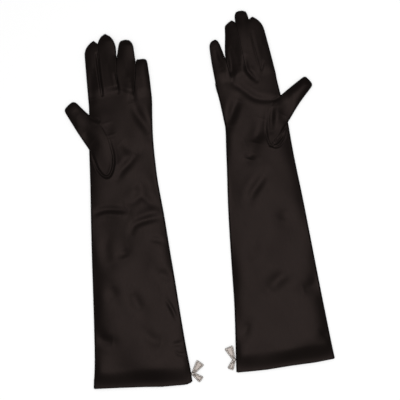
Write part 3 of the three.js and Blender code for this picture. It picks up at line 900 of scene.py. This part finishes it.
def make_limb(glove, limb, sheets):
    """The pieces of a finger or thumb."""
    prefix = f"{glove.side}_{limb}"
    grid = sheets["front"]["points"]
    base = grid[0]
    if limb == "thumb":
        along = base[-1] - base[0]
        outward = np.array([-along[1], along[0], 0]) / np.linalg.norm(along[:2])
        start = base.mean(axis=0)
        end = start + outward * 10
    else:
        start = np.array([base[:, 0].mean(), base[:, 1].max(), 0])
        end = start + np.array([0, 10.0, 0])
    start, end = tuple(glove.place(start)), tuple(glove.place(end))
    made = {}
    for name, sheet in sheets.items():
        piece = shell(glove, f"{prefix}_{name}_cloth", sheet)
        finish_piece(piece, *SATIN_LOOK, f"{prefix}_{name}")
        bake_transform(piece)
        made[name] = piece
    strips = [piece for name, piece in made.items() if name.startswith("fourchette")]
    width = np.linalg.norm(base[-1] - base[0]) * MM
    length = np.linalg.norm(grid[-1, 0] - base[len(base) // 2]) * MM
    for name, with_pieces in (("front", strips), ("back", ())):
        declare((width, length), sheet_area(sheets[name]))


def make_hand(glove, palm, back, setting):
    """The palm with the base of the thumb set into it, and the back."""
    pieces = []
    for name, node, sheet, chosen in (
        ("palm", "palm_panel", palm, ~setting),
        ("thumb_setting", "thumb_setting", palm, setting),
        ("back", "back_panel", back, None),
    ):
        piece = shell(glove, f"{glove.side}_{name}_cloth", sheet, chosen=chosen)
        finish_piece(piece, *SATIN_LOOK, f"{glove.side}_{node}")
        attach(piece, f"{glove.side}_glove")
        pieces.append(piece)
    return pieces


def make_hems(glove, cloth, grid, heights):
    """The cloth turned up inside the palm side and inside the back."""
    pieces = []
    for name, upper in (("palm_side", True), ("back_side", False)):
        sheet = hem_sheet(cloth, grid, heights, upper)
        shared_normals([sheet])
        piece = shell(glove, f"{glove.side}_hem_{name}_cloth", sheet, thickness=HEM_CLOTH)
        finish_piece(piece, *HEM_LOOK, f"{glove.side}_hem_{name}")
        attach(piece, f"{glove.side}_glove")
        pieces.append(piece)
    return pieces


def limb_bases(outline, grid, heights):
    """The points of the hand's grid that each finger and the thumb start from."""
    low, high = outline.shape["thumb_root"]
    root_rows = (heights >= low - 1e-6) & (heights <= high + 1e-6)
    bases = {"thumb": grid[root_rows, 0]}
    for i, name in enumerate(FINGER_NAMES):
        first = i * FINGER_COLUMNS
        bases[name] = grid[-1, first : first + FINGER_COLUMNS + 1]
    return bases


def make_glove(glove):
    """All the cloth of one glove."""
    cloth = Cloth(glove.side)
    outline = cloth.outline
    grid, heights = hand_grid(outline)
    points = with_height(outline.at_hem(grid, outline.shape["slit"]), cloth.palm)
    palm = {"points": points, "faces": faces_of(points)}
    points = with_height(outline.at_hem(grid), cloth.back)
    back = {"points": points, "faces": faces_of(points, facing_down=True)}
    bases = limb_bases(outline, grid, heights)
    limbs = {name: limb_sheets(cloth, name, base) for name, base in bases.items()}
    smooth = [palm, back]
    for sheets in limbs.values():
        smooth += [sheets["front"], sheets["back"]]
        for name, sheet in sheets.items():
            if name.startswith("fourchette"):
                shared_normals([sheet])
    shared_normals(smooth)

    middles = palm["points"].reshape(-1, 3)[palm["faces"]].mean(axis=1)[:, :2]
    setting = inside_seam(middles, glove.side)
    palm_piece, setting_piece, back_piece = make_hand(glove, palm, back, setting)
    palm_hem, back_hem = make_hems(glove, cloth, grid, heights)
    whole = sheet_area(palm)
    cut_out = sheet_area({"points": palm["points"], "faces": palm["faces"][setting]})
    declare(PALM_FLAT, whole - cut_out)
    declare(PALM_FLAT, whole)
    declare(SETTING_FLAT, cut_out)
    for name, sheets in limbs.items():
        make_limb(glove, name, sheets)


# ---- Bows, in millimetres ----
# A profile is a list of places beside a path and above the table.

RAIL_HALF = 1.15  # half the width of the rail round a wing
RAIL_SIDE = [(RAIL_HALF, 1.1), (RAIL_HALF, 2.5), (1.0, 2.65), (0.82, 2.5), (0.75, 2.0)]
RAIL = RAIL_SIDE + [(-aside, up) for aside, up in RAIL_SIDE[::-1]]
WING_ROOT = 1.5  # half the width of a wing where it begins
WING_BEGIN = 2.0  # and how far from the middle of the knot that is
WING_BEND = 1.1  # how much of each side its rounded corners take
WING_PLATE = (1.25, 1.75)  # the heights of the plate inside the rail
STONE_PITCH = 2.05
STONE_RADIUS = 0.93
STONE_FOOT = 2.45
STONE_HIGH = 0.85
STONE_SPIN = 0.7  # each stone is turned by this angle from the one before it
PRONG_ASIDE = 0.92
PRONG_UP = 2.72
PRONG_RADIUS = 0.27
KNOT_ROUND = (2.0, 2.6)  # half widths of the cup across and along the seam
CUP = [(0.3, 1.0), (0.2, 3.6), (-0.15, 3.85), (-0.4, 3.6), (-0.4, 1.0)]
CUP_PLATE = (0.45, 0.95)
CUP_PLATE_SHARE = 0.75  # the plate under the cup is smaller than the cup
CUP_BEAD_PITCH = 1.15
CUP_BEAD_UP = 3.95
CUP_BEAD_RADIUS = 0.42
KNOT_STONE_RADIUS = 1.8
KNOT_STONE_FOOT = 3.5
KNOT_STONE_HIGH = 1.4
THREAD_RADIUS = 0.2
THREAD_TURNS = (-1.0, -0.35, 0.3, 0.95)  # where the turns lie, from the middle of the knot
THREAD_LOOP_HIGH = 0.75  # half the height of a turn
THREAD_UP = 1.9
KNOT_SIDE = 2.2  # distance from the knot's middle to its side at the seam
THREAD_BITE = 0.9  # how far a turn goes into the cloth, and into the knot


def joined(parts):
    """Several vertex and face lists as one."""
    vertices, faces, count = [], [], 0
    for points, quads in parts:
        vertices.append(points)
        faces += [[i + count for i in q] for q in quads]
        count += len(points)
    return np.concatenate(vertices), faces


def band(one, other, count):
    """Quads between two rings of points, from where each ring's points begin."""
    steps = [(k, (k + 1) % count) for k in range(count)]
    return [[one + k, one + m, other + m, other + k] for k, m in steps]


def fan(ring, tip, count):
    """Triangles from a ring of points to one point."""
    return [[ring + k, ring + (k + 1) % count, tip] for k in range(count)]


def swept(path, profile):
    """A profile of (sideways, up) points carried round a closed path in the plane."""
    ahead = unit(np.roll(path, -1, axis=0) - path)
    middle = unit(ahead + np.roll(ahead, 1, axis=0))
    normal = np.stack([middle[:, 1], -middle[:, 0]], axis=1)
    stretch = 1 / np.maximum((middle * ahead).sum(axis=1), 0.5)
    rows = []
    for sideways, up in profile:
        plan = path + normal * (sideways * stretch)[:, None]
        rows.append(np.concatenate([plan, np.full((len(path), 1), up)], axis=1))
    length = len(path)
    faces = []
    for i in range(len(rows)):
        faces += band(i * length, (i + 1) % len(rows) * length, length)
    return np.concatenate(rows), faces


def ring_of(centre, radius, up, sides, shift=0.0):
    """Points round a circle that lies flat at a height, the first one shifted by an angle."""
    angles = [2 * math.pi * k / sides + shift for k in range(sides)]
    return [
        (centre[0] + radius * math.cos(angle), centre[1] + radius * math.sin(angle), up)
        for angle in angles
    ]


def stone(centre, radius, base, height, sides=8, spin=0.0):
    """A cut stone: a girdle, a ring of star facets and a flat table."""
    rings = ((0.55, -0.45, 0), (1.0, 0, 0.5), (0.98, 0.12, 0.5), (0.8, 0.62, 0), (0.55, 1, 0.5))
    points, faces = [], []
    for scale, up, shift in rings:
        turn = 2 * math.pi * shift / sides + spin
        points += ring_of(centre, radius * scale, base + height * up, sides, turn)
    for ring in range(len(rings) - 1):
        turned = rings[ring][2] != rings[ring + 1][2]
        for k in range(sides):
            a, b = ring * sides + k, ring * sides + (k + 1) % sides
            c, d = a + sides, b + sides
            if not turned:
                faces.append([a, b, d, c])
            elif rings[ring][2] == 0:
                faces += [[a, b, c], [b, d, c]]
            else:
                faces += [[a, d, c], [a, b, d]]
    faces.append(list(range(sides))[::-1])
    faces.append([(len(rings) - 1) * sides + k for k in range(sides)])
    return np.array(points), faces


def bead(centre, up, radius):
    """A small ball of metal, such as the end of a prong."""
    rings, sides = 5, 8
    points = [(*centre, up - radius)]
    for ring in range(1, rings):
        tilt = math.pi * ring / rings
        points += ring_of(centre, radius * math.sin(tilt), up - radius * math.cos(tilt), sides)
    points.append((*centre, up + radius))
    starts = [1 + ring * sides for ring in range(rings - 1)]
    faces = [face[::-1] for face in fan(starts[0], 0, sides)]
    for one, other in zip(starts, starts[1:]):
        faces += band(one, other, sides)
    faces += fan(starts[-1], len(points) - 1, sides)
    return np.array(points), faces


def wing_path(angle, length, end_width):
    """The middle of the rail round a bow's wing, which opens out from the knot."""
    half = end_width / 2 - RAIL_HALF
    end = length - RAIL_HALF
    corners = np.array([(-WING_ROOT, WING_BEGIN), (-half, end), (half, end), (WING_ROOT, WING_BEGIN)])
    path = []
    for k, corner in enumerate(corners):
        before, after = corners[k - 1], corners[(k + 1) % 4]
        steps = np.linspace(0, 1, 5)[:, None]
        a = corner + unit(before - corner) * WING_BEND
        b = corner + unit(after - corner) * WING_BEND
        path.append(a * (1 - steps) ** 2 + 2 * corner * steps * (1 - steps) + b * steps**2)
    path = np.concatenate(path)
    c, s = math.cos(angle), math.sin(angle)
    return np.stack([path[:, 0] * c + path[:, 1] * s, -path[:, 0] * s + path[:, 1] * c], axis=1)


def plate_inside(path, low, high):
    """A thin plate that fills a closed path, with creases like those of folded ribbon."""
    centre, count = path.mean(axis=0), len(path)
    shares = (1.0, 0.62, 0.3)
    ripple = 0.16 * np.cos(4 * np.arange(count) * 2 * math.pi / count)
    points, faces = [], []
    for top, level in enumerate((low, high)):
        starts = [len(points) + k * count for k in range(len(shares))]
        for share in shares:
            lift = ripple if top and share == shares[1] else np.zeros(count)
            ring = centre + (path - centre) * share
            points += [(*spot, level + rise) for spot, rise in zip(ring, lift)]
        points.append((*centre, level))
        filled = fan(starts[-1], len(points) - 1, count)
        for one, other in zip(starts, starts[1:]):
            filled += band(one, other, count)
        faces += [face[::-1] for face in filled] if top else filled
    faces += band(starts[0], 0, count)
    return np.array(points), faces


def place_bow_piece(glove, name, parts, look, node, smooth=False):
    """One piece of a bow, which moves with the bow."""
    vertices, faces = joined(parts)
    if glove.flip < 0:
        faces = [face[::-1] for face in faces]
    piece = mesh_object(f"{glove.side}_bow_{name}", glove.place(vertices), faces, smooth=smooth)
    finish_piece(piece, *look, f"{glove.side}_bow_{node}")
    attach(piece, f"{glove.side}_bow")


def closed_spots(path, pitch):
    """Evenly spaced points round a closed path, and the points halfway between them."""
    ring = np.concatenate([path, path[:1]])
    length = np.linalg.norm(np.diff(ring, axis=0), axis=1).sum()
    count = max(3, round(length / pitch))
    return spaced(ring, np.arange(count) / count), spaced(ring, (np.arange(count) + 0.5) / count)


def make_wing(glove, name, knot, degrees, length, end_width):
    """A wing: a rail round a plate, with stones along the rail and a prong on each side."""
    path = wing_path(math.radians(degrees), length, end_width) + knot
    spots, between = closed_spots(path, STONE_PITCH)
    rail = [swept(path, RAIL), plate_inside(path, *WING_PLATE)]
    centre = path.mean(axis=0)
    for spot in between:
        away = unit(spot - centre)
        for aside in (-PRONG_ASIDE, PRONG_ASIDE):
            rail.append(bead(spot + away * aside, PRONG_UP, PRONG_RADIUS))
    stones = [
        stone(spot, STONE_RADIUS, STONE_FOOT, STONE_HIGH, spin=k * STONE_SPIN)
        for k, spot in enumerate(spots)
    ]
    place_bow_piece(glove, f"{name}_rail", rail, SILVER_LOOK, f"{name}_frame")
    place_bow_piece(glove, f"{name}_crystals", stones, CRYSTAL_LOOK, f"{name}_stones")


def make_knot(glove, knot, degrees):
    """The knot: a large stone in a beaded cup, halfway between the wings' directions."""
    tilt = math.radians(90 - degrees)
    along = np.array([-math.sin(tilt), math.cos(tilt)])
    across = np.array([along[1], -along[0]])
    ring = np.array([
        knot + KNOT_ROUND[0] * math.cos(angle) * across + KNOT_ROUND[1] * math.sin(angle) * along
        for angle in np.linspace(0, 2 * math.pi, 24, endpoint=False)
    ])
    spots, _ = closed_spots(ring, CUP_BEAD_PITCH)
    foot = knot + (ring - knot) * CUP_PLATE_SHARE
    cup = [swept(ring[::-1], CUP), plate_inside(foot[::-1], *CUP_PLATE)]
    cup += [bead(spot, CUP_BEAD_UP, CUP_BEAD_RADIUS) for spot in spots]
    centre_stone = stone(knot, KNOT_STONE_RADIUS, KNOT_STONE_FOOT, KNOT_STONE_HIGH, sides=10)
    place_bow_piece(glove, "knot_crystal", [centre_stone], CRYSTAL_LOOK, "knot")
    place_bow_piece(glove, "cup", cup, SILVER_LOOK, "back_plate", smooth=True)


def make_bow(glove):
    """The bow of one glove, with its two wings."""
    shape = BOWS[glove.side]
    knot = np.array(shape["knot"])
    for name, wing in zip(("upper", "lower"), shape["wings"]):
        make_wing(glove, name, knot, *wing)
    make_knot(glove, knot, sum(degrees for degrees, *_ in shape["wings"]) / 2)


def make_stitches(glove, cloth_edge):
    """A few turns of thread that hold the bow to the seam."""
    knot = BOWS[glove.side]["knot"]
    knot_side = knot[0] - KNOT_SIDE
    middle = (cloth_edge + knot_side) / 2
    reach = (knot_side - cloth_edge) / 2 + THREAD_BITE
    round_thread = [
        (THREAD_RADIUS * math.cos(angle), THREAD_RADIUS * math.sin(angle))
        for angle in np.linspace(0, 2 * math.pi, 6, endpoint=False)
    ]
    turn = np.linspace(0, 2 * math.pi, 20, endpoint=False)
    up = THREAD_UP + THREAD_LOOP_HIGH * np.sin(turn)
    path = np.stack([middle + reach * np.cos(turn), up], axis=1)
    parts = []
    for k, shift in enumerate(THREAD_TURNS):
        loop, faces = swept(path, round_thread)
        y = knot[1] + shift + 0.25 * math.sin(3 * turn[k])
        parts.append((np.stack([loop[:, 0], y + loop[:, 2], loop[:, 1]], axis=1), faces))
    vertices, faces = joined(parts)
    if glove.flip > 0:
        faces = [face[::-1] for face in faces]
    piece = mesh_object(f"{glove.side}_bow_thread", glove.place(vertices), faces)
    finish_piece(piece, *THREAD_LOOK, f"{glove.side}_bow_stitches")
    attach(piece, f"{glove.side}_glove")


# ---- Studio ----


def make_camera():
    """The camera straight above, which sees the pair as in a product picture."""
    data = bpy.data.cameras.new("camera")
    data.angle = math.radians(14.25)
    data.clip_end = 100
    camera = bpy.data.objects.new("camera", data)
    camera.location = (0.0023, -0.0001, 2.4)
    camera.rotation_euler = (0, 0, math.radians(-6.35))
    bpy.context.scene.collection.objects.link(camera)
    bpy.context.scene.camera = camera


def area_light(name, location, size, power):
    """A rectangular light that points at the middle of the pair."""
    data = bpy.data.lights.new(name, "AREA")
    data.shape = "RECTANGLE"
    data.size, data.size_y = size
    data.energy = power
    light = bpy.data.objects.new(name, data)
    light.location = location
    light.rotation_euler = (-Vector(location)).to_track_quat("-Z", "Y").to_euler()
    bpy.context.scene.collection.objects.link(light)


def make_studio():
    """Soft light from above on a white table."""
    world = bpy.data.worlds.new("studio")
    bpy.context.scene.world = world
    world.use_nodes = True
    background = world.node_tree.nodes["Background"]
    background.inputs["Color"].default_value = (1, 1, 1, 1)
    background.inputs["Strength"].default_value = 0.5
    area_light("softbox", (0.12, -0.2, 2.7), (1.4, 1.25), 48)
    corners = np.array([(-8, -8, 0), (8, -8, 0), (8, 8, 0), (-8, 8, 0)], float)
    table = mesh_object("table_top", corners, [(0, 1, 2, 3)], smooth=False)
    table.location.z = -0.0001
    white = Shading("table_white")
    matt = {"Base Color": (0.93, 0.93, 0.93, 1), "Roughness": 0.9, "Specular IOR Level": 0.1}
    white.feed(white.shader, matt)
    table.data.materials.append(white.material)
    bpy.context.scene.view_settings.view_transform = "Standard"


make_camera()
for hand in ("left", "right"):
    laid = Glove(hand)
    make_glove(laid)
    make_bow(laid)
    make_stitches(laid, Outline(hand).sides(BOWS[hand]["knot"][1])[1])
make_studio()
